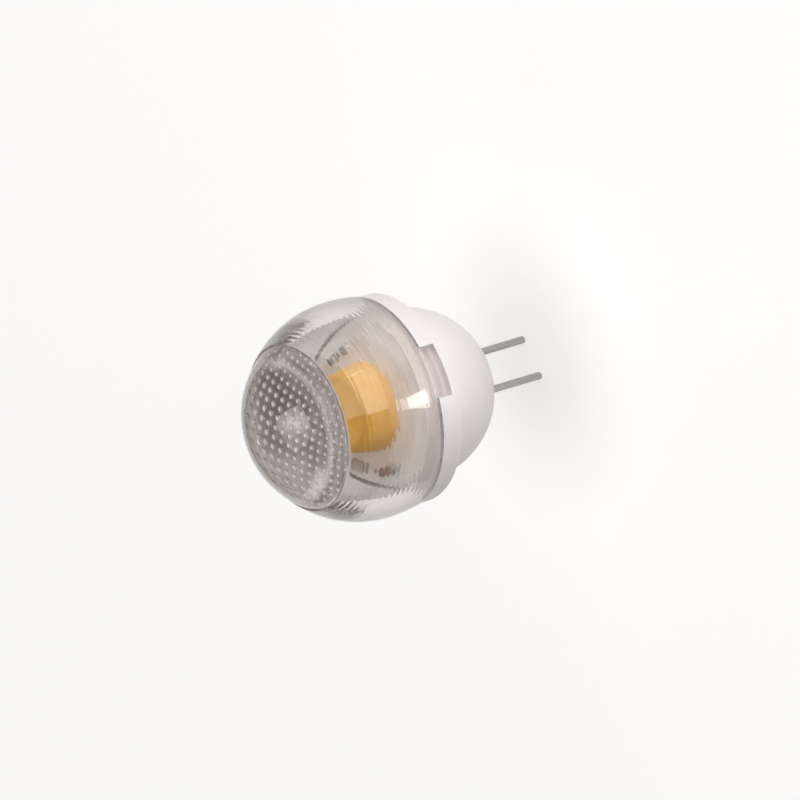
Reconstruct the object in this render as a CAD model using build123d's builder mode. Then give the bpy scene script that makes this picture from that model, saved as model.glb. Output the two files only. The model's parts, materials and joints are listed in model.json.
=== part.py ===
from build123d import *
import os
from math import asin, atan2, cos, degrees, hypot, radians, sin, sqrt

# Small bi-pin LED lamp: a white base with two wire pins, and a clear clip-on dome with a dotted lens.
# Millimetres. The lamp's axis is +Z, towards the lens. The origin is the centre of the flat land at
# the back of the base, where the pins leave it, and the pins stand on the X axis.

os.makedirs("parts", exist_ok=True)

# Contact pins
pin_spacing = 4.0
pin_d = 0.75
pin_reach = 7.3
pin_tip_round = 0.25
pin_neck_d = 1.4
pin_root_d = 1.8
pin_root_inset = 0.4
pin_tail_d = 1.0
pin_stick_out = 0.6
pin_fit = 0.03

# Base housing
base_r = 8.65
land_r = 2.95
base_wall = 1.2
neck_height = 0.87
collar_d = 21.1
collar_width = 2.35
collar_rear_round = 0.35
collar_front_round = 0.12
boss_wall = 0.6

# Joint between base and dome
lip_wall = 0.6
spigot_wall = 0.6
spigot_height = 0.9
spigot_fit = 0.05
groove_gap = 0.1
ring_fit = 0.1

# Snap tabs of the dome and the notches that take them
tab_count = 2
tab_width = 5.3
tab_turn = 83.0
tab_fit = 0.05
hook_reach = 0.25
hook_height = 0.3
ledge_height = 0.25

# Dome
foot_overhang = 0.2
foot_round = 0.1
dome_bulge = 0.45
equator_height = 2.75
rim_r = 8.4
rim_height = 9.95
rim_step = 0.15
lens_rise = 4.5
roof_r = 7.65
roof_height = 9.08
roof_rise = 1.02
roof_round = 0.25

# Dots on the back of the lens, in a square grid over the roof of the dome's cavity
dot_pitch = 0.8
dot_skew = 45.0
dot_r = 0.22
dot_top_r = 0.11
dot_height = 0.1
dot_sink = 0.1
dot_sides = 6
dot_edge_gap = 0.1

# Emitter board and emitter
board_wall = 1.0
board_fit = 0.9
phosphor_r = 4.7
phosphor_top_r = 4.2
phosphor_height = 2.9
phosphor_round = 1.0
chip_size = 1.0
chip_height = 0.2
chip_pitch = 2.2
chip_rows = 3
chip_fit = 0.01

# Chip capacitor on the emitter board
chip_cap_length = 2.4
chip_cap_depth = 0.9
chip_cap_height = 0.7
chip_cap_end = 0.4
chip_cap_reach = 6.9
chip_cap_turn = 172.0

# Chip resistor on the emitter board
chip_res_length = 1.7
chip_res_depth = 1.25
chip_res_height = 0.5
chip_res_end = 0.25
chip_res_reach = 6.7
chip_res_turn = 137.0
chip_round = 0.1

# Leads of the small packages
lead_width = 0.4
lead_sheet = 0.15
lead_shoulder = 0.3
lead_foot = 0.35
package_lift = 0.1
package_chamfer = 0.12
lead_pitch = 0.95

# Driver board in the base
driver_seat = 5.0
driver_wall = 0.8
driver_gap = 0.4
part_edge_gap = 0.4
hole_fit = 0.1
pin_joint_skirt = 0.4
pin_joint_height = 0.5
flank_hollow = 0.36

# Parts on the driver board
can_d = 4.0
can_height = 4.2
can_round = 0.3
can_bead = 0.2
can_bead_height = 0.9
core_d = 3.8
core_height = 3.2
core_flange = 0.6
core_post_d = 1.6
winding_inset = 0.15
bridge_length = 3.6
bridge_depth = 2.4
bridge_height = 1.2
bridge_lead_pitch = 2.0
driver_ic_length = 2.9
driver_ic_depth = 1.6
driver_ic_height = 1.0
diode_length = 1.6
diode_depth = 2.4
diode_height = 1.1
resistor_length = 2.0
resistor_depth = 1.25
resistor_height = 0.5
under_part_gap = 0.35

# Lead wires from the driver board to the emitter board
wire_d = 0.6
wire_rise = 1.8
wire_bend = 1.1
wire_stick_out = 0.25
wire_foot_inset = 1.16
wire_foot_turn = 41.0
wire_top_reach = 6.4
wire_top_turn = 8.0
wire_joint_skirt = 0.3
wire_joint_height = 0.5

# Heights and radii that follow from the sizes above
pin_r = pin_d / 2
pin_neck_r = pin_neck_d / 2
pin_root_r = pin_root_d / 2
pin_tail_r = pin_tail_d / 2
pin_places = [(-pin_spacing / 2, 0), (pin_spacing / 2, 0)]
boss_r = pin_root_r + pin_fit + boss_wall
base_centre = sqrt(base_r**2 - land_r**2)
cavity_r = base_r - base_wall
floor_z = base_centre - sqrt(cavity_r**2 - land_r**2)
collar_r = collar_d / 2
collar_rear = base_centre + neck_height
collar_front = collar_rear + collar_width
lip_r = collar_r - lip_wall
spigot_r = lip_r - spigot_fit
dome_cavity_r = spigot_r - spigot_wall
ring_r = dome_cavity_r - ring_fit
spigot_bottom = collar_front - spigot_height
groove_floor = spigot_bottom - groove_gap
hook_top = groove_floor - ledge_height - tab_fit
tab_tip = hook_top - hook_height
foot_r = collar_r + foot_overhang
dome_r = collar_r + dome_bulge
equator_z = collar_front + equator_height
rim_z = collar_front + rim_height
lens_r = rim_r - rim_step
lens_apex = rim_z + lens_rise
roof_z = collar_front + roof_height
roof_apex = roof_z + roof_rise
roof_ball_r = (roof_r**2 + roof_rise**2) / (2 * roof_rise)
roof_centre = roof_apex - roof_ball_r
dot_turn = tab_turn - dot_skew
seat_z = collar_front
board_r = dome_cavity_r - board_fit
board_top = seat_z + board_wall
driver_top = driver_seat + driver_wall
driver_r = sqrt(cavity_r**2 - (base_centre - driver_seat) ** 2) - driver_gap
pin_top = driver_top + pin_stick_out
wire_foot_reach = driver_r - wire_foot_inset
wire_r = wire_d / 2


def keep(part, name):
    """Label a finished piece and write it to its own file."""
    part.label = name
    export_step(part, f"parts/{name}.step")


def polar(reach, turn):
    """Point at a distance from the lamp's axis, turned from +X towards +Y in degrees."""
    return (reach * cos(radians(turn)), reach * sin(radians(turn)))


def section_plane(turn):
    """Plane through the lamp's axis: local x runs outwards at the given turn and local y runs up."""
    outwards = (*polar(1, turn), 0)
    across = (sin(radians(turn)), -cos(radians(turn)), 0)
    return Plane(origin=(0, 0, 0), x_dir=outwards, z_dir=across)


def upright_plane(place, height):
    """Upright plane through one place on a board, for profiles that are turned about that place."""
    return Plane(origin=(*place, height), x_dir=(1, 0, 0), z_dir=(0, -1, 0))


def seat_plane(place, height, turn, up=1):
    """Seat of a small part on a board: local x runs along the part and local z away from the board."""
    along = (*polar(1, turn), 0)
    return Plane(origin=(*place, height), x_dir=along, z_dir=(0, 0, up))


# Base housing: one turned section, then the pin bosses, the stepped pin holes and the tab notches
tab_arc = degrees(tab_width / collar_r)
notch_arc = tab_arc + 2 * degrees(tab_fit / collar_r)
tab_turns = [tab_turn + index * 360 / tab_count for index in range(tab_count)]

with BuildPart() as base_housing:
    with BuildSketch(Plane.XZ) as section:
        with BuildLine():
            Line((0, 0), (land_r, 0))
            TangentArc((base_r, base_centre), (land_r, 0), tangent=(0, -1))
            Polyline(
                (base_r, base_centre),
                (base_r, collar_rear),
                (collar_r, collar_rear),
                (collar_r, collar_front),
                (lip_r, collar_front),
                (lip_r, groove_floor),
                (ring_r, groove_floor),
                (ring_r, seat_z),
                (cavity_r, seat_z),
                (cavity_r, base_centre),
            )
            TangentArc((cavity_r, base_centre), (land_r, floor_z), tangent=(0, -1))
            Polyline((land_r, floor_z), (0, floor_z), (0, 0))
        make_face()
        fillet(section.vertices().sort_by_distance((collar_r, collar_rear))[0], collar_rear_round)
        fillet(section.vertices().sort_by_distance((collar_r, collar_front))[0], collar_front_round)
    revolve(axis=Axis.Z)
    with BuildSketch(Plane.XY.offset(floor_z / 2)):
        with Locations(*pin_places):
            Circle(boss_r)
    extrude(amount=driver_seat - floor_z / 2)
    with BuildSketch(Plane.XY):
        with Locations(*pin_places):
            Circle(pin_neck_r + pin_fit)
    extrude(amount=driver_seat, mode=Mode.SUBTRACT)
    with BuildSketch(Plane.XY.offset(pin_root_inset)):
        with Locations(*pin_places):
            Circle(pin_root_r + pin_fit)
    extrude(amount=driver_seat - pin_root_inset, mode=Mode.SUBTRACT)
    for turn in tab_turns:
        with BuildSketch(section_plane(turn - notch_arc / 2)):
            with BuildLine():
                Polyline(
                    (lip_r, collar_front + tab_fit),
                    (collar_r + foot_overhang, collar_front + tab_fit),
                    (collar_r + foot_overhang, tab_tip - tab_fit),
                    (lip_r - hook_reach - tab_fit, tab_tip - tab_fit),
                    (lip_r - hook_reach - tab_fit, hook_top + tab_fit),
                    (lip_r, hook_top + tab_fit),
                    close=True,
                )
            make_face()
        revolve(axis=Axis.Z, revolution_arc=notch_arc, mode=Mode.SUBTRACT)
keep(base_housing.part, "base_housing")

# Dome and lens: a barrel that narrows to the rim, and a solid lens with a gently arched back
dot_limit = roof_r - roof_round - dot_edge_gap
dot_root_r = dot_r + (dot_r - dot_top_r) * dot_sink / dot_height
dot_lines = int(dot_limit / dot_pitch)


def dot_seats():
    """Seats of the dots, in a square grid laid over the roof of the dome's cavity."""
    seats = []
    for row in range(-dot_lines, dot_lines + 1):
        for column in range(-dot_lines, dot_lines + 1):
            reach = hypot(column, row) * dot_pitch
            if reach > dot_limit:
                continue
            tilt = asin(reach / roof_ball_r)
            turn = degrees(atan2(row, column)) + dot_turn
            upwards = Vector(*polar(sin(tilt), turn), cos(tilt))
            place = Vector(0, 0, roof_centre) + upwards * roof_ball_r
            sideways = (*polar(1, turn + 90), 0)
            seats.append(Plane(origin=place, x_dir=sideways, z_dir=-upwards).location)
    return seats


# One dot: a low button with flat sides, sunk a little into the lens that carries it
with BuildPart() as dot:
    with BuildSketch(Plane.XY.offset(-dot_sink)):
        RegularPolygon(dot_root_r, dot_sides)
    with BuildSketch(Plane.XY.offset(dot_height)):
        RegularPolygon(dot_top_r, dot_sides)
    loft()

with BuildPart() as dome_lens:
    with BuildSketch(Plane.XZ) as section:
        with BuildLine():
            Polyline(
                (dome_cavity_r, equator_z),
                (dome_cavity_r, spigot_bottom),
                (spigot_r, spigot_bottom),
                (spigot_r, collar_front),
                (foot_r - foot_round, collar_front),
                (foot_r, collar_front + foot_round),
            )
            TangentArc((dome_r, equator_z), (foot_r, collar_front + foot_round), tangent=(0, -1))
            TangentArc((dome_r, equator_z), (rim_r, rim_z), tangent=(0, 1))
            Line((rim_r, rim_z), (lens_r, rim_z))
            TangentArc((0, lens_apex), (lens_r, rim_z), tangent=(1, 0))
            Line((0, lens_apex), (0, roof_apex))
            TangentArc((0, roof_apex), (roof_r, roof_z), tangent=(1, 0))
            TangentArc((dome_cavity_r, equator_z), (roof_r, roof_z), tangent=(0, 1))
        make_face()
        fillet(section.vertices().sort_by_distance((roof_r, roof_z))[0], roof_round)
    revolve(axis=Axis.Z)
    for turn in tab_turns:
        with BuildSketch(section_plane(turn - tab_arc / 2)):
            with BuildLine():
                Polyline(
                    (spigot_r, collar_front),
                    (collar_r, collar_front),
                    (collar_r, tab_tip),
                    (lip_r - hook_reach, tab_tip),
                    (lip_r - hook_reach, hook_top),
                    (lip_r + tab_fit, hook_top),
                    (lip_r + tab_fit, spigot_bottom),
                    (spigot_r, spigot_bottom),
                    close=True,
                )
            make_face()
        revolve(axis=Axis.Z, revolution_arc=tab_arc)
    with Locations(*dot_seats()):
        add(dot.part)
keep(dome_lens.part, "dome_lens")


# Contact pins: a neck in the land, a thick root that can't be drawn out, and a tail for the driver board
pin_root_z = pin_root_inset + pin_fit
pin_steps = [
    (pin_r, -pin_reach, 0),
    (pin_neck_r, 0, pin_root_z),
    (pin_root_r, pin_root_z, driver_seat),
    (pin_tail_r, driver_seat, pin_top),
]


def contact_pin(place):
    with BuildPart() as pin:
        for radius, bottom, top in pin_steps:
            with BuildSketch(Plane.XY.offset(bottom)):
                with Locations(place):
                    Circle(radius)
            extrude(amount=top - bottom)
        fillet(pin.edges().filter_by(GeomType.CIRCLE).sort_by(Axis.Z)[0], pin_tip_round)
    return pin.part


keep(contact_pin(pin_places[0]), "left_contact_pin")
keep(contact_pin(pin_places[1]), "right_contact_pin")

# Driver board: it rests on the pin bosses, and the pins are soldered through it
with BuildPart() as driver_board:
    with BuildSketch(Plane.XY.offset(driver_seat)):
        Circle(driver_r)
        with Locations(*pin_places):
            Circle(pin_tail_r + hole_fit, mode=Mode.SUBTRACT)
    extrude(amount=driver_wall)
keep(driver_board.part, "driver_board")


def solder_collars(places, height, core_r, skirt, rise):
    """Rings of solder round pins or wires, each with a hollow flank."""
    hollow = (core_r + skirt * flank_hollow, rise * flank_hollow)
    with BuildPart() as joints:
        for place in places:
            with BuildSketch(upright_plane(place, height)):
                with BuildLine():
                    Polyline((core_r, rise), (core_r, 0), (core_r + skirt, 0))
                    ThreePointArc((core_r, rise), hollow, (core_r + skirt, 0))
                make_face()
            revolve(axis=Axis((*place, height), (0, 0, 1)))
    return joints.part


pin_joints = solder_collars(pin_places, driver_top, pin_tail_r, pin_joint_skirt, pin_joint_height)
keep(pin_joints, "pin_solder_joints")

# Emitter board: a round white board on the base's inner ring, with a hole for each lead wire
wire_sides = {"supply_lead_wire": 1, "return_lead_wire": -1}
wire_feet = {name: polar(wire_foot_reach, side * wire_foot_turn) for name, side in wire_sides.items()}
wire_tops = {name: polar(wire_top_reach, side * wire_top_turn) for name, side in wire_sides.items()}

with BuildPart() as led_board:
    with BuildSketch(Plane.XY.offset(seat_z)):
        Circle(board_r)
        with Locations(*wire_tops.values()):
            Circle(wire_r + hole_fit, mode=Mode.SUBTRACT)
    extrude(amount=board_wall)
keep(led_board.part, "led_board")

# Emitter: dies in a square grid, and the phosphor moulded over them
with BuildPart() as led_chips:
    with BuildSketch(Plane.XY.offset(board_top)):
        with GridLocations(chip_pitch, chip_pitch, chip_rows, chip_rows):
            Rectangle(chip_size, chip_size)
    extrude(amount=chip_height)
keep(led_chips.part, "led_chips")

with BuildPart() as phosphor_cap:
    with BuildSketch(Plane.XZ):
        with BuildLine():
            Polyline(
                (0, board_top),
                (phosphor_r, board_top),
                (phosphor_top_r, board_top + phosphor_height),
                (0, board_top + phosphor_height),
                close=True,
            )
        make_face()
    revolve(axis=Axis.Z)
    fillet(phosphor_cap.edges().filter_by(GeomType.CIRCLE).sort_by(Axis.Z)[-1], phosphor_round)
    with BuildSketch(Plane.XY.offset(board_top)):
        with GridLocations(chip_pitch, chip_pitch, chip_rows, chip_rows):
            Rectangle(chip_size + 2 * chip_fit, chip_size + 2 * chip_fit)
    extrude(amount=chip_height + chip_fit, mode=Mode.SUBTRACT)
keep(phosphor_cap.part, "phosphor_cap")

# Chip parts on the emitter board: each is a ceramic block between two metal ends
def chip_body(seat, length, depth, height, end):
    with BuildPart() as body:
        with BuildSketch(seat):
            Rectangle(length - 2 * end, depth)
        extrude(amount=height)
    return body.part


def chip_ends(seat, length, depth, height, end):
    place = length / 2 - end / 2
    with BuildPart() as ends:
        with BuildSketch(seat):
            with Locations((-place, 0), (place, 0)):
                Rectangle(end, depth)
        extrude(amount=height)
        fillet(ends.edges().filter_by(Axis.Z), chip_round)
    return ends.part


chip_cap_seat = seat_plane(polar(chip_cap_reach, chip_cap_turn), board_top, chip_cap_turn + 90)
chip_cap_sizes = (chip_cap_length, chip_cap_depth, chip_cap_height, chip_cap_end)
keep(chip_body(chip_cap_seat, *chip_cap_sizes), "board_capacitor")
keep(chip_ends(chip_cap_seat, *chip_cap_sizes), "board_capacitor_terminals")

chip_res_seat = seat_plane(polar(chip_res_reach, chip_res_turn), board_top, chip_res_turn + 90)
chip_res_sizes = (chip_res_length, chip_res_depth, chip_res_height, chip_res_end)
keep(chip_body(chip_res_seat, *chip_res_sizes), "board_resistor")
keep(chip_ends(chip_res_seat, *chip_res_sizes), "board_resistor_terminals")


# Small moulded packages, each on bent leads that lift it a little off its board
def package(seat, length, depth, height):
    with BuildPart() as body:
        with BuildSketch(seat.offset(package_lift)):
            Rectangle(length, depth)
        extrude(amount=height)
        chamfer(body.faces().sort_by(Axis(seat.origin, seat.z_dir))[-1].edges(), package_chamfer)
    return body.part


def bent_leads(seat, depth, height, places):
    """Leads out of the long sides of a package: places lists a side, 1 or -1, and a place along it."""
    root = package_lift + height / 2
    with BuildPart() as leads:
        for side, offset in places:
            start = seat.from_local_coords((offset, side * depth / 2, 0))
            with BuildSketch(Plane(origin=start, x_dir=seat.y_dir * side, z_dir=seat.x_dir * side)):
                with BuildLine():
                    Polyline(
                        (0, root),
                        (0, root + lead_sheet),
                        (lead_shoulder, root + lead_sheet),
                        (lead_shoulder, lead_sheet),
                        (lead_shoulder + lead_foot, lead_sheet),
                        (lead_shoulder + lead_foot, 0),
                        (lead_shoulder - lead_sheet, 0),
                        (lead_shoulder - lead_sheet, root),
                        close=True,
                    )
                make_face()
            extrude(amount=lead_width / 2, both=True)
    return leads.part


# Parts under the driver board: the bridge rectifier and the driver, on either side of the pins
lead_reach = lead_shoulder + lead_foot
under_side = boss_r + under_part_gap + lead_reach
bridge_seat = seat_plane((0, -under_side - bridge_depth / 2), driver_seat, 0, up=-1)
bridge_sides = [(side, place * bridge_lead_pitch / 2) for side in (-1, 1) for place in (-1, 1)]
keep(package(bridge_seat, bridge_length, bridge_depth, bridge_height), "bridge_rectifier")
keep(bent_leads(bridge_seat, bridge_depth, bridge_height, bridge_sides), "bridge_rectifier_leads")

driver_ic_seat = seat_plane((0, under_side + driver_ic_depth / 2), driver_seat, 0, up=-1)
driver_ic_sides = [(-1, -lead_pitch), (-1, 0), (-1, lead_pitch), (1, -lead_pitch), (1, lead_pitch)]
keep(package(driver_ic_seat, driver_ic_length, driver_ic_depth, driver_ic_height), "driver_ic")
keep(bent_leads(driver_ic_seat, driver_ic_depth, driver_ic_height, driver_ic_sides), "driver_ic_leads")

# Parts on top of the driver board: the diode and the resistor beside the pins
diode_seat = seat_plane((driver_r - part_edge_gap - diode_length / 2, 0), driver_top, 0)
keep(package(diode_seat, diode_length, diode_depth, diode_height), "freewheel_diode")
keep(bent_leads(diode_seat, diode_depth, diode_height, [(-1, 0), (1, 0)]), "freewheel_diode_leads")

resistor_seat = seat_plane((resistor_depth / 2 + part_edge_gap - driver_r, 0), driver_top, 90)
with BuildPart() as sense_resistor:
    with BuildSketch(resistor_seat):
        Rectangle(resistor_length, resistor_depth)
    extrude(amount=resistor_height)
keep(sense_resistor.part, "sense_resistor")

# Smoothing capacitor: a drawn can with a rolled bead near its foot
can_r = can_d / 2
can_place = (0, driver_r - part_edge_gap - can_r)
with BuildPart() as smoothing_capacitor:
    with BuildSketch(upright_plane(can_place, driver_top)):
        with BuildLine():
            Polyline((can_r, can_bead_height - can_bead), (can_r, 0), (0, 0), (0, can_height))
            Polyline((0, can_height), (can_r - can_round, can_height))
            TangentArc((can_r, can_height - can_round), (can_r - can_round, can_height), tangent=(0, 1))
            Line((can_r, can_height - can_round), (can_r, can_bead_height + can_bead))
            ThreePointArc(
                (can_r, can_bead_height + can_bead),
                (can_r - can_bead, can_bead_height),
                (can_r, can_bead_height - can_bead),
            )
        make_face()
    revolve(axis=Axis((*can_place, 0), (0, 0, 1)))
keep(smoothing_capacitor.part, "smoothing_capacitor")

# Inductor: a ferrite spool and the winding between its flanges
core_r = core_d / 2
core_place = (0, core_r + part_edge_gap - driver_r)
with BuildPart() as inductor_core:
    with BuildSketch(Plane.XY.offset(driver_top)):
        with Locations(core_place):
            Circle(core_r)
    extrude(amount=core_flange)
    with BuildSketch(Plane.XY.offset(driver_top + core_height - core_flange)):
        with Locations(core_place):
            Circle(core_r)
    extrude(amount=core_flange)
    with BuildSketch(Plane.XY.offset(driver_top)):
        with Locations(core_place):
            Circle(core_post_d / 2)
    extrude(amount=core_height)
keep(inductor_core.part, "inductor_core")

with BuildPart() as inductor_winding:
    with BuildSketch(Plane.XY.offset(driver_top + core_flange)):
        with Locations(core_place):
            Circle(core_r - winding_inset)
            Circle(core_post_d / 2, mode=Mode.SUBTRACT)
    extrude(amount=core_height - 2 * core_flange)
keep(inductor_winding.part, "inductor_winding")


# Lead wires: up from the driver board, across, and up through the emitter board
def lead_wire(foot, top):
    with BuildPart() as wire:
        with BuildLine() as route:
            FilletPolyline(
                (*foot, driver_top),
                (*foot, driver_top + wire_rise),
                (*top, seat_z - wire_rise),
                (*top, board_top + wire_stick_out),
                radius=wire_bend,
            )
        with BuildSketch(Plane.XY.offset(driver_top)):
            with Locations(foot):
                Circle(wire_r)
        sweep(path=route.line)
    return wire.part


for name in wire_sides:
    keep(lead_wire(wire_feet[name], wire_tops[name]), name)

# Solder at both ends of the lead wires: rings at their feet, and beads over their tops
wire_foot_places = list(wire_feet.values())
wire_joints = solder_collars(wire_foot_places, driver_top, wire_r, wire_joint_skirt, wire_joint_height)
keep(wire_joints, "wire_foot_joints")

wire_joint_r = wire_r + wire_joint_skirt
with BuildPart() as lead_solder_joints:
    for place in wire_tops.values():
        with BuildSketch(upright_plane(place, board_top)):
            with BuildLine():
                Polyline(
                    (0, wire_joint_height),
                    (0, wire_stick_out),
                    (wire_r, wire_stick_out),
                    (wire_r, 0),
                    (wire_joint_r, 0),
                )
                TangentArc((0, wire_joint_height), (wire_joint_r, 0), tangent=(1, 0))
            make_face()
        revolve(axis=Axis((*place, board_top), (0, 0, 1)))
keep(lead_solder_joints.part, "lead_solder_joints")
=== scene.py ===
# %% [markdown]
# # A small bi-pin LED lamp
# The lamp is a white moulded base on two wire pins, with a clear dome clipped over a yellow emitter.
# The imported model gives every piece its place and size, in metres, with +Z along the lamp's axis.
# This lesson keeps the solid pieces, gives each its real finish, and moulds the clear dome again with
# round dots on the back of its lens, because what light does in that lens is most of what one sees.

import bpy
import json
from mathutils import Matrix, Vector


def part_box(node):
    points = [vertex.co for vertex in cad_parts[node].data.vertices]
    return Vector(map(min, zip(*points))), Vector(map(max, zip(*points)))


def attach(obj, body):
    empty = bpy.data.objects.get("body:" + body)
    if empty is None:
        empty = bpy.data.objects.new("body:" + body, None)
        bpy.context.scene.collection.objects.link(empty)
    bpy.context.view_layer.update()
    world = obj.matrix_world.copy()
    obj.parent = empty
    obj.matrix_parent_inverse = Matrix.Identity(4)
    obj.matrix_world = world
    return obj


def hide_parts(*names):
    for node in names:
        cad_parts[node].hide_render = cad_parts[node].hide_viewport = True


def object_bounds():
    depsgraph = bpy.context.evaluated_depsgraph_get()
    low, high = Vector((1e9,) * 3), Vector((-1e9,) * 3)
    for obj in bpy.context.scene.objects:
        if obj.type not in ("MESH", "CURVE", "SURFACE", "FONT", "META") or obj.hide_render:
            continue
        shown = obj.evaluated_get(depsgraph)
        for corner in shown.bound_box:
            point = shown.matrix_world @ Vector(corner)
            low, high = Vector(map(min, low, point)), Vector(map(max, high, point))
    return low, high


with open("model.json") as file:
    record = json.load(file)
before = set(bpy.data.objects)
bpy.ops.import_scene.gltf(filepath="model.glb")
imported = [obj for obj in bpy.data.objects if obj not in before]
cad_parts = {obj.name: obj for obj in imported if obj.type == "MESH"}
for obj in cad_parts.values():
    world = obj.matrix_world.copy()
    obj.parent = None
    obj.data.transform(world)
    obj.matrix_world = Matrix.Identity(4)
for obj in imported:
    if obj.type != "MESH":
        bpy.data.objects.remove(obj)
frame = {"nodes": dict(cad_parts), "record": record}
cad_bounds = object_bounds()
print("packed box, mm:", [[round(c * 1000, 2) for c in corner] for corner in cad_bounds])

# %% [markdown]
# ## Units and modules
# Sizes below are in millimetres, as on a drawing, and are multiplied by MM when they reach Blender.

# %% Modules and units
import json
from math import atan2, cos, hypot, pi, radians, sin, sqrt

import bmesh
import bpy
from mathutils import Matrix, Vector
from mathutils.geometry import delaunay_2d_cdt

MM = 0.001
print("pieces in the pack:", len(frame["nodes"]))

# %% [markdown]
# ## Two helpers for finishes
# Colours are written as sRGB hex, as a paint program shows them, and Blender's shaders want linear
# light, so one function turns one into the other. A second adds a node, sets it up and links it. Both
# keep the cells that follow short enough to read as recipes.

# %% Colour and node helpers
def linear(hex_colour):
    """Linear red, green, blue and alpha of an sRGB hex colour."""
    parts = [int(hex_colour[i:i + 2], 16) / 255 for i in (0, 2, 4)]
    return [p / 12.92 if p <= 0.04045 else ((p + 0.055) / 1.055) ** 2.4 for p in parts] + [1.0]


def add(tree, kind, values):
    """Add a node. A key is one of its settings or a socket, and a socket as value makes a link."""
    node = tree.nodes.new(kind)
    for key, value in values.items():
        if isinstance(key, str) and hasattr(node, key):
            setattr(node, key, value)
        elif isinstance(value, bpy.types.NodeSocket):
            tree.links.new(value, node.inputs[key])
        else:
            node.inputs[key].default_value = value
    return node


def start_finish(name, **sockets):
    """A new material with the shader's plain sockets set, and the place on the piece to read."""
    material = bpy.data.materials.new(name)
    material.use_nodes = True
    tree = material.node_tree
    shader = tree.nodes["Principled BSDF"]
    for socket, value in sockets.items():
        shader.inputs[socket.replace("_", " ")].default_value = value
    place = add(tree, "ShaderNodeTexCoord", {}).outputs["Object"]
    return material, tree, shader, place


def per_size(size_mm):
    """Texture scale at which a pattern repeats about once in this many millimetres."""
    return 1 / (size_mm * MM)


def per_ring(size_mm):
    """Wave texture scale at which a ring or band comes every so many millimetres."""
    return 2 * pi / (20 * size_mm * MM)


finishes = {}
print("white as linear:", [round(c, 3) for c in linear("f2efed")])

# %% [markdown]
# ## Moulded white polycarbonate
# The base is moulded in white polycarbonate in a spark-eroded tool, so it is satin, with a grain of
# about a tenth of a millimetre. Paint would be smoother and chalk would be duller. The grain goes into
# the bump and the roughness, and a slow drift of tone stands for the flow of the plastic.

# %% White base finish
material, tree, shader, place = start_finish("moulded_white_polycarbonate", IOR=1.585)
drift = add(tree, "ShaderNodeTexNoise", {"Vector": place, "Scale": per_size(7.0), "Detail": 2.0})
tone = add(tree, "ShaderNodeMix", {
    "data_type": "RGBA", "Factor": drift.outputs["Fac"], 6: linear("efe8e6"), 7: linear("f5f0ee")})
grain = add(tree, "ShaderNodeTexNoise", {"Vector": place, "Scale": per_size(0.12), "Detail": 3.0})
satin = add(tree, "ShaderNodeMapRange", {"Value": grain.outputs["Fac"], "To Min": 0.32, "To Max": 0.46})
relief = add(tree, "ShaderNodeBump", {
    "Height": grain.outputs["Fac"], "Strength": 0.25, "Distance": 0.01 * MM})
tree.links.new(tone.outputs[2], shader.inputs["Base Color"])
tree.links.new(satin.outputs["Result"], shader.inputs["Roughness"])
tree.links.new(relief.outputs["Normal"], shader.inputs["Normal"])
finishes["white_plastic"] = material
print("made", material.name)

# %% [markdown]
# ## Moulded clear polycarbonate
# The dome is clear polycarbonate with a smoky grey tint, which also paints in part of the shade of the
# dim room seen through it. It bends light strongly, with an index of 1.585.
# The tool was turned and polished, and what the turning left are rings half a millimetre apart round
# the barrel, too low to see but enough to fray the edge of what lies behind them. The bump holds those
# rings and a slow waviness of the moulding. The foot, tabs and spigot were never polished and are matt,
# and the dotted back of the lens has a fine frost that softens what it mirrors. Smoke in the plastic
# A Layer Weight deepens the tint towards the outline. This is partly smoke, which shows most where one
# looks along the wall, and partly painted shade for the dim room that the wall shows there.
# Lamps would throw black shadows through clear plastic, since a ray tracer can't bend a shadow ray, so
# shadow rays pass as through a pane and the emitter inside is lit.

# %% Clear dome finish: rings and waves
material, tree, shader, place = start_finish(
    "moulded_clear_polycarbonate", IOR=1.585, Transmission_Weight=1.0)
spot = add(tree, "ShaderNodeSeparateXYZ", {"Vector": place})
ring_spacing, ring_height = 0.5, 0.0035
rings_fade, rings_end = 19.6, 20.4
rings = add(tree, "ShaderNodeTexWave", {
    "wave_type": "BANDS", "bands_direction": "Z", "Vector": place, "Scale": per_ring(ring_spacing),
    "Distortion": 1.5, "Detail": 1.0, "Detail Scale": 0.4})
barrel = add(tree, "ShaderNodeMapRange", {
    "Value": spot.outputs["Z"], "From Min": rings_end * MM, "From Max": rings_fade * MM})
turning = add(tree, "ShaderNodeMath", {
    "operation": "MULTIPLY", 0: rings.outputs["Fac"], 1: barrel.outputs["Result"]})
ringed = add(tree, "ShaderNodeBump", {
    "Height": turning.outputs["Value"], "Strength": 1.0, "Distance": ring_height * MM})
waves = add(tree, "ShaderNodeTexNoise", {"Vector": place, "Scale": per_size(4.0), "Detail": 1.0})
flow = add(tree, "ShaderNodeBump", {
    "Height": waves.outputs["Fac"], "Strength": 0.35, "Distance": 0.05 * MM,
    "Normal": ringed.outputs["Normal"]})
tree.links.new(flow.outputs["Normal"], shader.inputs["Normal"])

# %% Clear dome finish: tint
matt_below, clear_above = 11.36, 11.44
foot = add(tree, "ShaderNodeMapRange", {
    "Value": spot.outputs["Z"], "From Min": clear_above * MM, "From Max": matt_below * MM})
# painted shade: the tint darkens towards the outline, partly for smoke and partly for the dim room's
# shade
aslant = add(tree, "ShaderNodeLayerWeight", {"Blend": 0.5})
outline_shade = add(tree, "ShaderNodeMapRange", {
    "interpolation_type": "SMOOTHSTEP", "Value": aslant.outputs["Facing"],
    "From Min": 0.35, "From Max": 0.95})
smoke_and_shade = add(tree, "ShaderNodeMix", {
    "data_type": "RGBA", "Factor": outline_shade.outputs["Result"], 6: linear("e4dedc"), 7: linear("474342")})
tint = add(tree, "ShaderNodeMix", {
    "data_type": "RGBA", "Factor": foot.outputs["Result"], 6: smoke_and_shade.outputs[2], 7: linear("e6dfdd")})
tree.links.new(tint.outputs[2], shader.inputs["Base Color"])
print("tint deepens where the wall is seen aslant")

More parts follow.
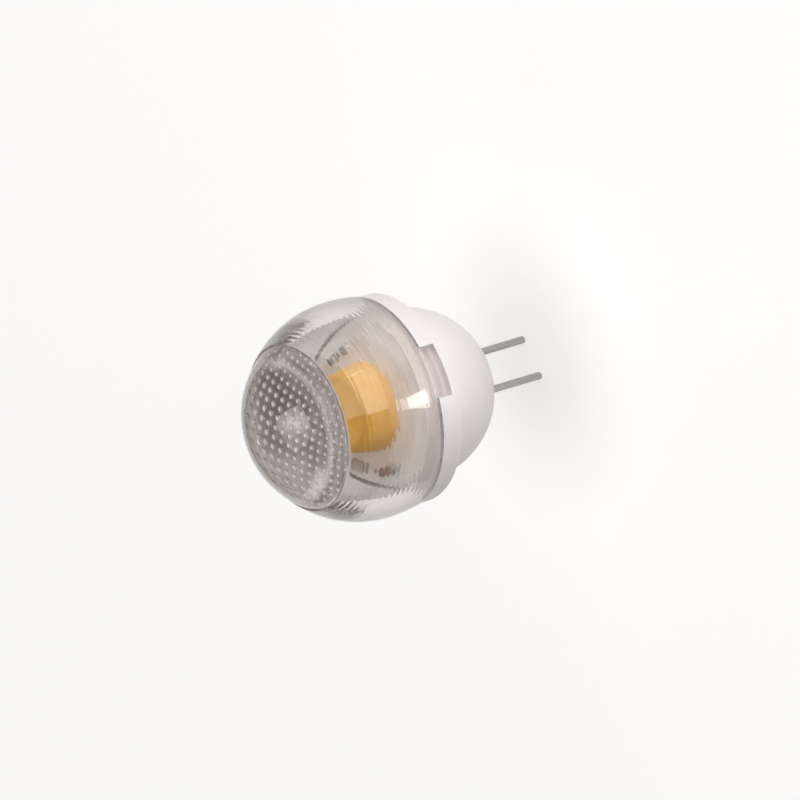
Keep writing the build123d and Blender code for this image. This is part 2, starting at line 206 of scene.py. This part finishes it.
# %% Clear dome finish: polish
polished, matt_foot, frost = 0.05, 0.5, 0.16
frost_r, frost_top, frost_fade = 7.6, 21.6, 0.2
haze = add(tree, "ShaderNodeTexNoise", {"Vector": place, "Scale": per_size(1.5), "Detail": 4.0})
matt = add(tree, "ShaderNodeMath", {
    "operation": "MULTIPLY", 0: foot.outputs["Result"], 1: matt_foot})
polish = add(tree, "ShaderNodeMath", {
    "operation": "MULTIPLY_ADD", 0: haze.outputs["Fac"], 1: polished, 2: matt.outputs["Value"]})
sideways = add(tree, "ShaderNodeVectorMath", {"operation": "MULTIPLY", 0: place, 1: (1, 1, 0)})
from_axis = add(tree, "ShaderNodeVectorMath", {"operation": "LENGTH", 0: sideways.outputs["Vector"]})
within = add(tree, "ShaderNodeMapRange", {
    "Value": from_axis.outputs["Value"],
    "From Min": (frost_r + frost_fade) * MM, "From Max": frost_r * MM, "To Max": frost})
behind = add(tree, "ShaderNodeMapRange", {
    "Value": spot.outputs["Z"],
    "From Min": (frost_top + frost_fade) * MM, "From Max": frost_top * MM})
frosted = add(tree, "ShaderNodeMath", {
    "operation": "MULTIPLY_ADD", 0: within.outputs["Result"], 1: behind.outputs["Result"],
    2: polish.outputs["Value"]})
tree.links.new(frosted.outputs["Value"], shader.inputs["Roughness"])
print("roughness from", polished, "to", matt_foot)

# %% Clear dome finish: shadows
path = add(tree, "ShaderNodeLightPath", {})
pane = add(tree, "ShaderNodeBsdfTransparent", {"Color": (1, 1, 1, 1)})
clear = add(tree, "ShaderNodeMixShader", {
    0: path.outputs["Is Shadow Ray"], 1: shader.outputs["BSDF"], 2: pane.outputs["BSDF"]})
tree.links.new(clear.outputs["Shader"], tree.nodes["Material Output"].inputs["Surface"])
finishes["clear_plastic"] = material
print("made", material.name)

# %% [markdown]
# ## Light trapped in the wall
# Light that runs along inside a clear wall is mirrored from skin to skin many times before it gets out.
# Cycles follows only four such mirrorings unless told otherwise, and shows black where it gives up: round
# the rim of the lens and along the edges of the barrel. A real dome has no such black bands.

# %% Follow mirrored light further
paths = bpy.context.scene.cycles
paths.max_bounces, paths.glossy_bounces, paths.transmission_bounces = 40, 32, 32
print("mirrorings followed:", paths.glossy_bounces)

# %% [markdown]
# ## Drawn and tinned wire
# The pins are cut from drawn wire and tinned. Drawing leaves fine lines along the wire, so the noise is
# stretched a hundred times along Z. Real lines are some microns apart, too fine to show here, and are
# drawn about 0.05 mm apart.

# %% Pin finish
material, tree, shader, place = start_finish("drawn_tinned_wire", Metallic=1.0)
drawn = add(tree, "ShaderNodeMapping", {
    "Vector": place, "Scale": (per_size(0.05), per_size(0.05), per_size(5.0))})
lines = add(tree, "ShaderNodeTexNoise", {"Vector": drawn.outputs["Vector"], "Scale": 1.0, "Detail": 2.0})
tone = add(tree, "ShaderNodeMix", {
    "data_type": "RGBA", "Factor": lines.outputs["Fac"], 6: linear("918e8a"), 7: linear("c2bfbb")})
satin = add(tree, "ShaderNodeMapRange", {"Value": lines.outputs["Fac"], "To Min": 0.2, "To Max": 0.38})
relief = add(tree, "ShaderNodeBump", {
    "Height": lines.outputs["Fac"], "Strength": 0.3, "Distance": 0.005 * MM})
tree.links.new(tone.outputs[2], shader.inputs["Base Color"])
tree.links.new(satin.outputs["Result"], shader.inputs["Roughness"])
tree.links.new(relief.outputs["Normal"], shader.inputs["Normal"])
finishes["pin_metal"] = material
print("made", material.name)

# %% [markdown]
# ## White solder mask
# The emitter board is aluminium under a white solder mask. A broad, slightly darker band runs round the
# emitter and is a little raised: a wave of rings 10 mm apart has its first crest there. The mask itself
# is slightly orange-peeled.

# %% Emitter board finish
material, tree, shader, place = start_finish("white_solder_mask", IOR=1.5)
rings = add(tree, "ShaderNodeTexWave", {
    "wave_type": "RINGS", "rings_direction": "Z", "Vector": place, "Scale": per_ring(10.0)})
ring_band = add(tree, "ShaderNodeMapRange", {
    "interpolation_type": "SMOOTHSTEP", "Value": rings.outputs["Fac"],
    "From Min": 0.55, "From Max": 0.75})
peel = add(tree, "ShaderNodeTexNoise", {"Vector": place, "Scale": per_size(0.4), "Detail": 2.0})
tone = add(tree, "ShaderNodeMix", {
    "data_type": "RGBA", "Factor": ring_band.outputs["Result"], 6: linear("f3efe9"), 7: linear("e6ddd2")})
height = add(tree, "ShaderNodeMath", {
    "operation": "MULTIPLY_ADD", 0: peel.outputs["Fac"], 1: 0.15, 2: ring_band.outputs["Result"]})
relief = add(tree, "ShaderNodeBump", {
    "Height": height.outputs["Value"], "Strength": 0.6, "Distance": 0.03 * MM})
gloss = add(tree, "ShaderNodeMapRange", {"Value": peel.outputs["Fac"], "To Min": 0.3, "To Max": 0.45})
tree.links.new(tone.outputs[2], shader.inputs["Base Color"])
tree.links.new(gloss.outputs["Result"], shader.inputs["Roughness"])
tree.links.new(relief.outputs["Normal"], shader.inputs["Normal"])
finishes["white_board"] = material
print("made", material.name)

# %% [markdown]
# ## Phosphor silicone
# The yellow emitter is clear silicone full of phosphor powder. Powder settles unevenly, so the colour
# is mottled at about half a millimetre, and the skin is smooth with a low gloss.

# %% Emitter finish
material, tree, shader, place = start_finish("phosphor_silicone", IOR=1.41)
powder = add(tree, "ShaderNodeTexNoise", {"Vector": place, "Scale": per_size(0.5), "Detail": 4.0})
tone = add(tree, "ShaderNodeMix", {
    "data_type": "RGBA", "Factor": powder.outputs["Fac"], 6: linear("f9b237"), 7: linear("ffd568")})
skin = add(tree, "ShaderNodeMapRange", {"Value": powder.outputs["Fac"], "To Min": 0.35, "To Max": 0.5})
relief = add(tree, "ShaderNodeBump", {
    "Height": powder.outputs["Fac"], "Strength": 0.3, "Distance": 0.02 * MM})
tree.links.new(tone.outputs[2], shader.inputs["Base Color"])
tree.links.new(skin.outputs["Result"], shader.inputs["Roughness"])
tree.links.new(relief.outputs["Normal"], shader.inputs["Normal"])
finishes["phosphor"] = material
print("made", material.name)

# %% [markdown]
# ## The small parts on the boards
# The other finishes differ in colour, metal and gloss, but each is one material with a speckle of its
# own size: tin that froze in small grains, epoxy with a matt moulded skin, pressed ceramic and ferrite
# powder, copper under enamel. One recipe with a table of values says that best.

# %% Small part finishes
SMALL_FINISHES = {
    # slot: name, dark colour, light colour, metallic, least and most roughness, speckle in mm
    "green_board": ("green_solder_mask", "1f4a2e", "2c6340", 0.0, 0.30, 0.45, 0.6),
    "die": ("polished_chip", "4e5463", "6b7284", 0.0, 0.08, 0.16, 0.2),
    "solder": ("frozen_tin_solder", "aeadab", "d2d1cf", 1.0, 0.18, 0.40, 0.25),
    "lead_metal": ("tinned_lead_frame", "b3b2af", "d6d5d2", 1.0, 0.25, 0.42, 0.3),
    "black_epoxy": ("moulded_black_epoxy", "18181a", "242426", 0.0, 0.50, 0.68, 0.15),
    "tan_ceramic": ("sintered_tan_ceramic", "8c7159", "a98b70", 0.0, 0.40, 0.60, 0.12),
    "pale_ceramic": ("fired_pale_alumina", "c4b8ab", "d6ccc0", 0.0, 0.40, 0.55, 0.15),
    "can_metal": ("drawn_aluminium_can", "b2b5b8", "cfd2d5", 1.0, 0.22, 0.36, 0.4),
    "ferrite": ("pressed_ferrite", "222222", "343332", 0.0, 0.60, 0.80, 0.1),
    "copper_wire": ("enamelled_copper_wire", "9a5427", "c47a43", 1.0, 0.25, 0.40, 0.2),
    "wire_insulation": ("white_pvc_insulation", "dcd8d2", "e9e6e1", 0.0, 0.40, 0.55, 0.3),
}
for slot, (name, dark, light, metallic, smooth, rough, speckle) in SMALL_FINISHES.items():
    material, tree, shader, place = start_finish(name, Metallic=metallic)
    grain = add(tree, "ShaderNodeTexNoise", {"Vector": place, "Scale": per_size(speckle), "Detail": 3.0})
    tone = add(tree, "ShaderNodeMix", {
        "data_type": "RGBA", "Factor": grain.outputs["Fac"], 6: linear(dark), 7: linear(light)})
    gloss = add(tree, "ShaderNodeMapRange", {
        "Value": grain.outputs["Fac"], "To Min": smooth, "To Max": rough})
    relief = add(tree, "ShaderNodeBump", {
        "Height": grain.outputs["Fac"], "Strength": 0.3, "Distance": speckle * 0.05 * MM})
    tree.links.new(tone.outputs[2], shader.inputs["Base Color"])
    tree.links.new(gloss.outputs["Result"], shader.inputs["Roughness"])
    tree.links.new(relief.outputs["Normal"], shader.inputs["Normal"])
    finishes[slot] = material
print("made", len(SMALL_FINISHES), "small finishes")

# %% [markdown]
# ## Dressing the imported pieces
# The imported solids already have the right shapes, so each keeps its mesh and only gets a finish. The
# record says which slot each piece takes, and the loop follows it.

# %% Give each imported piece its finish
for subpart in frame["record"]["subparts"]:
    piece = frame["nodes"][subpart["node"]]
    for material_slot in piece.material_slots:
        material_slot.material = finishes[subpart["material_slot"]]

# %% [markdown]
# ## Section of the dome
# The dome is turned in the mould, so half its section says almost all of it: a cavity with a gently
# arched roof, a spigot that sits in the base, a barrel that narrows to a rim, and a thick lens. It could
# be a Spin of a drawn curve. Worked out from a few circles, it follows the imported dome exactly.

# %% Sizes of the dome
collar_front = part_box("base_housing")[1].z / MM
dome_low, dome_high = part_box("dome_lens")
dome_r = min(-dome_low.x, dome_high.x, -dome_low.y, dome_high.y) / MM
collar_r, lip_r, spigot_r, cavity_r = 10.55, 9.95, 9.9, 9.3
foot_r, foot_round = 10.75, 0.1
spigot_bottom = collar_front - 0.9
equator_z = collar_front + 2.75
rim_r, rim_z, lens_r = 8.4, collar_front + 9.95, 8.25
lens_apex = dome_high.z / MM - 0.005
roof_r, roof_z, roof_apex = 7.65, collar_front + 9.08, collar_front + 10.1
print(f"dome radius {dome_r:.3f} mm, lens apex {lens_apex:.3f} mm")


# %% Circles of the section
def arc(centre, start, end, steps):
    """Points from start to end on a circle round centre, the short way, with both ends."""
    first = atan2(start[1] - centre[1], start[0] - centre[0])
    last = atan2(end[1] - centre[1], end[0] - centre[0])
    turn = (last - first + pi) % (2 * pi) - pi
    radius = hypot(start[0] - centre[0], start[1] - centre[1])
    angles = [first + turn * i / steps for i in range(steps + 1)]
    return [(centre[0] + radius * cos(a), centre[1] + radius * sin(a)) for a in angles]


def upright_arc_centre(upright, end):
    """Centre of the circle that leaves one point straight up or down and reaches another."""
    across, along = upright[0] - end[0], upright[1] - end[1]
    return (upright[0] - (across**2 + along**2) / (2 * across), upright[1])


def cap_centre(edge, apex):
    """Centre, on the axis, of the circle through a point of the edge and the apex."""
    rise = apex - edge[1]
    return (0, apex - (edge[0] ** 2 + rise**2) / (2 * rise))


def towards(centre, point, distance):
    """The point at a distance from centre, on the way to another point."""
    scale = distance / hypot(point[0] - centre[0], point[1] - centre[1])
    return (centre[0] + (point[0] - centre[0]) * scale, centre[1] + (point[1] - centre[1]) * scale)


barrel_centre = upright_arc_centre((dome_r, equator_z), (rim_r, rim_z))
foot_centre = upright_arc_centre((dome_r, equator_z), (foot_r, collar_front + foot_round))
wall_centre = upright_arc_centre((cavity_r, equator_z), (roof_r, roof_z))
lens_centre = cap_centre((lens_r, rim_z), lens_apex)
roof_centre = cap_centre((roof_r, roof_z), roof_apex)
roof_ball = roof_apex - roof_centre[1]
wall_ball = cavity_r - wall_centre[0]
print(f"lens radius {lens_apex - lens_centre[1]:.2f} mm, roof radius {roof_ball:.2f} mm")

# %% [markdown]
# The inner corner between roof and wall is rounded as a cutter would leave it. The rounding's centre is
# where two slightly smaller circles cross, and it touches each wall straight outwards from there.

# %% Rounded corner of the cavity
roof_round = 0.25
near, far = wall_ball - roof_round, roof_ball - roof_round
apart = hypot(roof_centre[0] - wall_centre[0], roof_centre[1] - wall_centre[1])
along = (near**2 - far**2 + apart**2) / (2 * apart)
aside = sqrt(near**2 - along**2)
line = ((roof_centre[0] - wall_centre[0]) / apart, (roof_centre[1] - wall_centre[1]) / apart)
corner = max(
    (wall_centre[0] + along * line[0] + side * aside * line[1],
     wall_centre[1] + along * line[1] - side * aside * line[0])
    for side in (-1, 1))
roof_edge = towards(roof_centre, corner, roof_ball)
wall_edge = towards(wall_centre, corner, wall_ball)
print(f"roof is clear to {roof_edge[0]:.2f} mm from the axis")

# %% [markdown]
# Two clip tabs reach down from the dome's foot and hook under the base's lip. Between the tabs the
# section steps from the spigot to the foot, and at a tab it goes round the hook, so the section has one
# stretch in two versions.

# %% Stretches of the section
lip_height, hook_height, hook_reach, tab_fit = 1.3, 0.3, 0.25, 0.05
hook_top = collar_front - lip_height
tab_tip = hook_top - hook_height
hook_out, hook_in = lip_r + tab_fit, lip_r - hook_reach
inside = (
    arc(corner, roof_edge, wall_edge, 8)
    + arc(wall_centre, wall_edge, (cavity_r, equator_z), 24)[1:]
    + [(cavity_r, spigot_bottom)])
plain_foot = [(spigot_r, spigot_bottom), (spigot_r, collar_front), (collar_r, collar_front)]
tab_foot = [
    (spigot_r, spigot_bottom), (hook_out, spigot_bottom), (hook_out, hook_top),
    (hook_in, hook_top), (hook_in, tab_tip), (collar_r, tab_tip), (collar_r, collar_front)]
outside = (
    [(foot_r - foot_round, collar_front)]
    + arc(foot_centre, (foot_r, collar_front + foot_round), (dome_r, equator_z), 12)
    + arc(barrel_centre, (dome_r, equator_z), (rim_r, rim_z), 28)[1:]
    + arc(lens_centre, (lens_r, rim_z), (0, lens_apex), 40))
print("points in the section:", len(inside) + len(plain_foot) + len(outside))

# %% [markdown]
# ## Turning the section
# A Spin would turn one section all the way round. Here the turn is done step by step, so that each step
# can take the plain or the tab version, and a tab's two end faces close the shell. The roof is left open
# for its own dense mesh.

# %% Turn the dome
tab_turn, tab_width = 83.0, 5.3
tab_turns = [radians(tab_turn), radians(tab_turn + 180.0)]
tab_half = tab_width / collar_r / 2
steps, least_step = 240, 0.004
edges = [(tab + side * tab_half) % (2 * pi) for tab in tab_turns for side in (-1, 1)]
turns = sorted([2 * pi * i / steps for i in range(steps)] + edges)
turns = [a for i, a in enumerate(turns) if a in edges or min(abs(a - e) for e in edges) > least_step]

shell = bmesh.new()
on_roof = shell.verts.layers.float.new("on_roof")
made = {}


def point_at(index, point):
    """The shell's vertex at a step of the turn and a point of the section."""
    on_axis = point[0] < 1e-6
    key = (0 if on_axis else index, round(point[0], 5), round(point[1], 5))
    if key not in made:
        angle = turns[index]
        made[key] = shell.verts.new(
            (point[0] * cos(angle) * MM, point[0] * sin(angle) * MM, point[1] * MM))
    return made[key]


def in_tab(angle):
    """Whether an angle lies within one of the tabs."""
    return any(abs((angle - tab + pi) % (2 * pi) - pi) < tab_half for tab in tab_turns)


for i in range(len(turns)):
    j = (i + 1) % len(turns)
    middle = (turns[i] + (turns[j] if j else 2 * pi)) / 2
    path = inside + (tab_foot if in_tab(middle) else plain_foot) + outside
    for p, q in zip(path, path[1:]):
        corners = [point_at(i, p), point_at(i, q), point_at(j, q), point_at(j, p)]
        shell.faces.new(list(dict.fromkeys(corners)))
for edge in edges:
    index = turns.index(edge)
    shell.faces.new([point_at(index, p) for p in tab_foot + [plain_foot[1]]])
print("faces turned:", len(shell.faces))

# %% [markdown]
# ## Roof of the cavity
# The back of the lens carries rows of round dots, so its mesh is a fine grid that runs along the rows,
# with twelve squares from one dot to the next. A Delaunay triangulation joins the grid to the ring where
# the turned wall begins, with no gap between them.

# %% Lay the roof's mesh
dot_pitch, dot_skew, squares = 0.8, 45.0, 12
dot_turn = radians(tab_turn - dot_skew)
cell = dot_pitch / squares
reach = roof_edge[0]
count = int(reach / cell)
flat = [(reach * cos(a), reach * sin(a)) for a in turns]
for row in range(-count, count + 1):
    for column in range(-count, count + 1):
        if hypot(row, column) * cell < reach - 0.6 * cell:
            flat.append((
                (column * cos(dot_turn) - row * sin(dot_turn)) * cell,
                (column * sin(dot_turn) + row * cos(dot_turn)) * cell))
rim_links = [(i, (i + 1) % len(turns)) for i in range(len(turns))]
found = delaunay_2d_cdt([Vector(p) for p in flat], rim_links, [], 0, 1e-6)
roof_verts = []
for spot, sources in zip(found[0], found[3]):
    if sources and sources[0] < len(turns):
        roof_verts.append(point_at(sources[0], roof_edge))
        continue
    height = roof_centre[1] + sqrt(roof_ball**2 - spot.x**2 - spot.y**2)
    vert = shell.verts.new((spot.x * MM, spot.y * MM, height * MM))
    vert[on_roof] = 1.0
    roof_verts.append(vert)
for triangle in found[2]:
    shell.faces.new([roof_verts[k] for k in triangle])
print("roof points:", len(roof_verts))

# %% Close the shell
bmesh.ops.recalc_face_normals(shell, faces=shell.faces)
for face in shell.faces:
    face.smooth = True
open_edges = sum(not e.is_manifold for e in shell.edges)
dome_mesh = bpy.data.meshes.new("clear_dome")
shell.to_mesh(dome_mesh)
shell.free()
dome_mesh.set_sharp_from_angle(angle=radians(30))
dome_blank = bpy.data.objects.new("clear_dome_blank", dome_mesh)
bpy.context.collection.objects.link(dome_blank)
print("faces:", len(dome_mesh.polygons), "open edges:", open_edges)

# %% [markdown]
# ## Dots on the back of the lens
# The dots are low round buttons in a square grid, moulded into the lens's back. They repeat, so Geometry
# Nodes make them: a grid of points is cut to a disc and laid on the roof, and each roof point sinks into
# the cavity by how near it is to a point of that grid. Real instances would leave seams in clear plastic,
# which would show as dark rings, so the skin itself is moved.

# %% Build the dot tree
dots = bpy.data.node_groups.new("lens_dots", "GeometryNodeTree")
dots.interface.new_socket(name="Geometry", in_out="OUTPUT", socket_type="NodeSocketGeometry")
sockets = {}
for name, kind in [
        ("Geometry", "Geometry"), ("Pitch", "Float"), ("Lines", "Int"), ("Turn", "Float"),
        ("Reach", "Float"), ("Dot Radius", "Float"), ("Dot Height", "Float"), ("Roof Radius", "Float"),
        ("Roof Centre", "Float"), ("Finish", "Material")]:
    sockets[name] = dots.interface.new_socket(
        name=name, in_out="INPUT", socket_type="NodeSocket" + kind).identifier
asked = add(dots, "NodeGroupInput", {}).outputs
spans = add(dots, "ShaderNodeMath", {"operation": "SUBTRACT", 0: asked["Lines"], 1: 1.0})
width = add(dots, "ShaderNodeMath", {"operation": "MULTIPLY", 0: spans.outputs[0], 1: asked["Pitch"]})
lattice = add(dots, "GeometryNodeMeshGrid", {
    "Size X": width.outputs[0], "Size Y": width.outputs[0],
    "Vertices X": asked["Lines"], "Vertices Y": asked["Lines"]})
here = add(dots, "GeometryNodeInputPosition", {}).outputs["Position"]
from_axis = add(dots, "ShaderNodeVectorMath", {"operation": "LENGTH", 0: here})
too_far = add(dots, "FunctionNodeCompare", {
    "data_type": "FLOAT", "operation": "GREATER_THAN", 0: from_axis.outputs["Value"], 1: asked["Reach"]})
disc = add(dots, "GeometryNodeDeleteGeometry", {
    "domain": "POINT", "Geometry": lattice.outputs["Mesh"], "Selection": too_far.outputs["Result"]})
turned = add(dots, "ShaderNodeVectorRotate", {
    "rotation_type": "Z_AXIS", "Vector": here, "Angle": asked["Turn"]})
out_square = add(dots, "ShaderNodeMath", {
    "operation": "MULTIPLY", 0: from_axis.outputs["Value"], 1: from_axis.outputs["Value"]})
ball_square = add(dots, "ShaderNodeMath", {
    "operation": "MULTIPLY", 0: asked["Roof Radius"], 1: asked["Roof Radius"]})
drop = add(dots, "ShaderNodeMath", {
    "operation": "SUBTRACT", 0: ball_square.outputs[0], 1: out_square.outputs[0]})
root = add(dots, "ShaderNodeMath", {"operation": "SQRT", 0: drop.outputs[0]})
level = add(dots, "ShaderNodeMath", {"operation": "ADD", 0: root.outputs[0], 1: asked["Roof Centre"]})
lift = add(dots, "ShaderNodeCombineXYZ", {"Z": level.outputs[0]})
seat = add(dots, "ShaderNodeVectorMath", {
    "operation": "ADD", 0: turned.outputs["Vector"], 1: lift.outputs["Vector"]})
seats = add(dots, "GeometryNodeSetPosition", {
    "Geometry": disc.outputs["Geometry"], "Position": seat.outputs["Vector"]})
nearest = add(dots, "GeometryNodeProximity", {"target_element": "POINTS", 0: seats.outputs["Geometry"]})
share = add(dots, "ShaderNodeMath", {
    "operation": "DIVIDE", 0: nearest.outputs["Distance"], 1: asked["Dot Radius"]})
square = add(dots, "ShaderNodeMath", {"operation": "MULTIPLY", 0: share.outputs[0], 1: share.outputs[0]})
crown = add(dots, "ShaderNodeMath", {
    "operation": "SUBTRACT", "use_clamp": True, 0: 1.0, 1: square.outputs[0]})
height = add(dots, "ShaderNodeMath", {
    "operation": "MULTIPLY", 0: crown.outputs[0], 1: asked["Dot Height"]})
facing = add(dots, "GeometryNodeInputNormal", {}).outputs["Normal"]
push = add(dots, "ShaderNodeVectorMath", {"operation": "SCALE", 0: facing, "Scale": height.outputs[0]})
roof_only = add(dots, "GeometryNodeInputNamedAttribute", {"data_type": "FLOAT", "Name": "on_roof"})
dotted = add(dots, "GeometryNodeSetPosition", {
    "Geometry": asked["Geometry"], "Selection": roof_only.outputs["Attribute"],
    "Offset": push.outputs["Vector"]})
real = add(dots, "GeometryNodeRealizeInstances", {"Geometry": dotted.outputs["Geometry"]})
dressed = add(dots, "GeometryNodeSetMaterial", {
    "Geometry": real.outputs["Geometry"], "Material": asked["Finish"]})
add(dots, "NodeGroupOutput", {"Geometry": dressed.outputs["Geometry"]})
print("nodes in the dot tree:", len(dots.nodes))

# %% Mould the dots into the dome
dot_reach, dot_r, dot_height = 7.3, 0.21, 0.09
dot_lines = 2 * int(dot_reach / dot_pitch) + 1
modifier = dome_blank.modifiers.new("lens_dots", "NODES")
modifier.node_group = dots
for name, value in {
        "Pitch": dot_pitch * MM, "Lines": dot_lines, "Turn": dot_turn, "Reach": dot_reach * MM,
        "Dot Radius": dot_r * MM, "Dot Height": dot_height * MM, "Roof Radius": roof_ball * MM,
        "Roof Centre": roof_centre[1] * MM, "Finish": finishes["clear_plastic"]}.items():
    modifier[sockets[name]] = value
evaluated = dome_blank.evaluated_get(bpy.context.evaluated_depsgraph_get())
dome = bpy.data.objects.new("clear_dome", bpy.data.meshes.new_from_object(evaluated))
bpy.context.collection.objects.link(dome)
bpy.data.objects.remove(dome_blank)
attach(dome, "root")
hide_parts("dome_lens")
print("dome faces:", len(dome.data.polygons), "finish:", dome.data.materials[0].name)

# %% [markdown]
# ## Floor
# A pale floor under the pins' tips. Its own colour takes the lamp's soft shadow, and a glow that only
# the camera, mirrors and clear plastic see lifts it to the white of a studio sheet, so that no more
# light falls on the lamp.

# %% Lay the floor
floor_mesh = bpy.data.meshes.new("studio_floor")
floor_half = 3.0
floor_z = cad_bounds[0].z
floor_mesh.from_pydata(
    [(x * floor_half, y * floor_half, floor_z) for x, y in [(-1, -1), (1, -1), (1, 1), (-1, 1)]],
    [], [(0, 1, 2, 3)])
floor = bpy.data.objects.new("studio_floor", floor_mesh)
bpy.context.collection.objects.link(floor)
material, tree, shader, place = start_finish(
    "matt_white_sheet", Base_Color=linear("efefee"), Roughness=0.9)
floor_glow = 0.53
path = add(tree, "ShaderNodeLightPath", {}).outputs
seen = add(tree, "ShaderNodeMath", {
    "operation": "MAXIMUM", 0: path["Is Camera Ray"], 1: path["Is Glossy Ray"]})
seen = add(tree, "ShaderNodeMath", {
    "operation": "MAXIMUM", 0: seen.outputs[0], 1: path["Is Transmission Ray"]})
glow = add(tree, "ShaderNodeMath", {"operation": "MULTIPLY", 0: seen.outputs[0], 1: floor_glow})
shader.inputs["Emission Color"].default_value = (1, 1, 1, 1)
tree.links.new(glow.outputs[0], shader.inputs["Emission Strength"])
floor_mesh.materials.append(material)
print(f"floor at {floor_z / MM:.2f} mm")

# %% [markdown]
# ## Light
# In the photo a wide soft light fills one side of the room, like a row of windows. It lights the base
# from above in the picture, and its reflection lies as a pale veil over that half of the barrel. In the
# lamp's own frame that side runs from +X round to -Y. The rest of the room is dim, and shows as the dark
# patch in the lens, where the lens's back mirrors it. Soft boxes stand for the windows, and the world for
# the dim room. Light panels that lie on the floor carry the windows on below the horizon, and a narrow
# one makes the white highlight beside the emitter.

# %% Dim room
world = bpy.data.worlds.new("dim_room")
bpy.context.scene.world = world
world.use_nodes = True
tree = world.node_tree
direction = add(tree, "ShaderNodeTexCoord", {}).outputs["Generated"]
up = add(tree, "ShaderNodeSeparateXYZ", {"Vector": direction})
tone = add(tree, "ShaderNodeMix", {
    "data_type": "RGBA", "Factor": up.outputs["Z"], 6: linear("6a6664"), 7: linear("5c5856")})
tree.links.new(tone.outputs[2], tree.nodes["Background"].inputs["Color"])
print("room made")


# %% Soft boxes
panel_height, lamp_middle = 0.8, 12.0


def soft_box(name, turn, tilt, distance_mm, size_mm, brightness, on_floor=False):
    """An area lamp that faces the lamp, at a turn from +X and a tilt above the floor, in degrees, or one
    that lies on the floor. Its brightness is that of its face, where 1 looks white."""
    lamp = bpy.data.lights.new(name, "AREA")
    lamp.shape = "RECTANGLE"
    lamp.size, lamp.size_y = size_mm[0] * MM, size_mm[1] * MM
    lamp.energy = brightness * pi * lamp.size * lamp.size_y
    box = bpy.data.objects.new(name, lamp)
    box.visible_camera = False
    turn, tilt = radians(turn), radians(tilt)
    away = Vector((cos(turn) * cos(tilt), sin(turn) * cos(tilt), sin(tilt)))
    middle = floor_z + panel_height * MM if on_floor else lamp_middle * MM
    box.location = Vector((0, 0, middle)) + away * distance_mm * MM
    facing_lamp = away.to_track_quat("Z", "Y").to_euler()
    box.rotation_euler = (pi, 0, turn + pi / 2) if on_floor else facing_lamp
    bpy.context.collection.objects.link(box)


soft_box("near_window", -90, 12.5, 600, (497, 270), 2.4)
soft_box("side_window", -45, 12.5, 600, (497, 270), 2.0)
soft_box("far_window", 0, 12.5, 600, (497, 270), 0.7)
soft_box("far_wall", 45, 40, 600, (400, 321), 0.35)
soft_box("back_wall", 135, 40, 600, (400, 321), 0.4)
soft_box("ceiling", 0, 89.5, 600, (420, 420), 1.7)
soft_box("glint", 77, 28, 600, (34, 34), 4.0)
soft_box("near_panel", -113, 0, 105, (80, 130), 0.5, on_floor=True)
soft_box("side_panel", -66, 0, 105, (80, 130), 1.3, on_floor=True)
soft_box("highlight_panel", -113, 0, 47, (10, 30), 6.0, on_floor=True)

# %% [markdown]
# ## Camera
# The photo looks at the lamp about 57 degrees off its axis, with a long lens, and is turned so that the
# lens of the lamp points to the lower left. Three unit vectors say that: to the viewer, right and up.

# %% Camera at the photo's angle
azimuth, elevation = radians(-15.0), radians(32.5)
roll = radians(16.7)
to_viewer = Vector((sin(azimuth) * cos(elevation), -cos(azimuth) * cos(elevation), sin(elevation)))
axis_seen = (Vector((0, 0, 1)) - to_viewer * to_viewer.z).normalized()
across_seen = to_viewer.cross(axis_seen)
right = across_seen * sin(roll) - axis_seen * cos(roll)
above = -across_seen * cos(roll) - axis_seen * sin(roll)

frame_width = 78.4
pixel = frame_width / 800
aim_z, shift_right, shift_down = 9.0, 0.9, 2.9
aim = Vector((0, 0, aim_z)) + right * (shift_right * pixel) - above * (shift_down * pixel)
camera = bpy.data.objects.new("camera", bpy.data.cameras.new("camera"))
camera.data.lens = 500
camera.data.sensor_width = 36
distance = frame_width * camera.data.lens / camera.data.sensor_width
camera.data.clip_start = 0.01
turn = Matrix((right, above, to_viewer)).transposed().to_4x4()
camera.matrix_world = Matrix.Translation((aim + to_viewer * distance) * MM) @ turn
bpy.context.collection.objects.link(camera)
bpy.context.scene.camera = camera
bpy.context.scene.view_settings.view_transform = "Standard"
print(f"camera {distance:.0f} mm away")
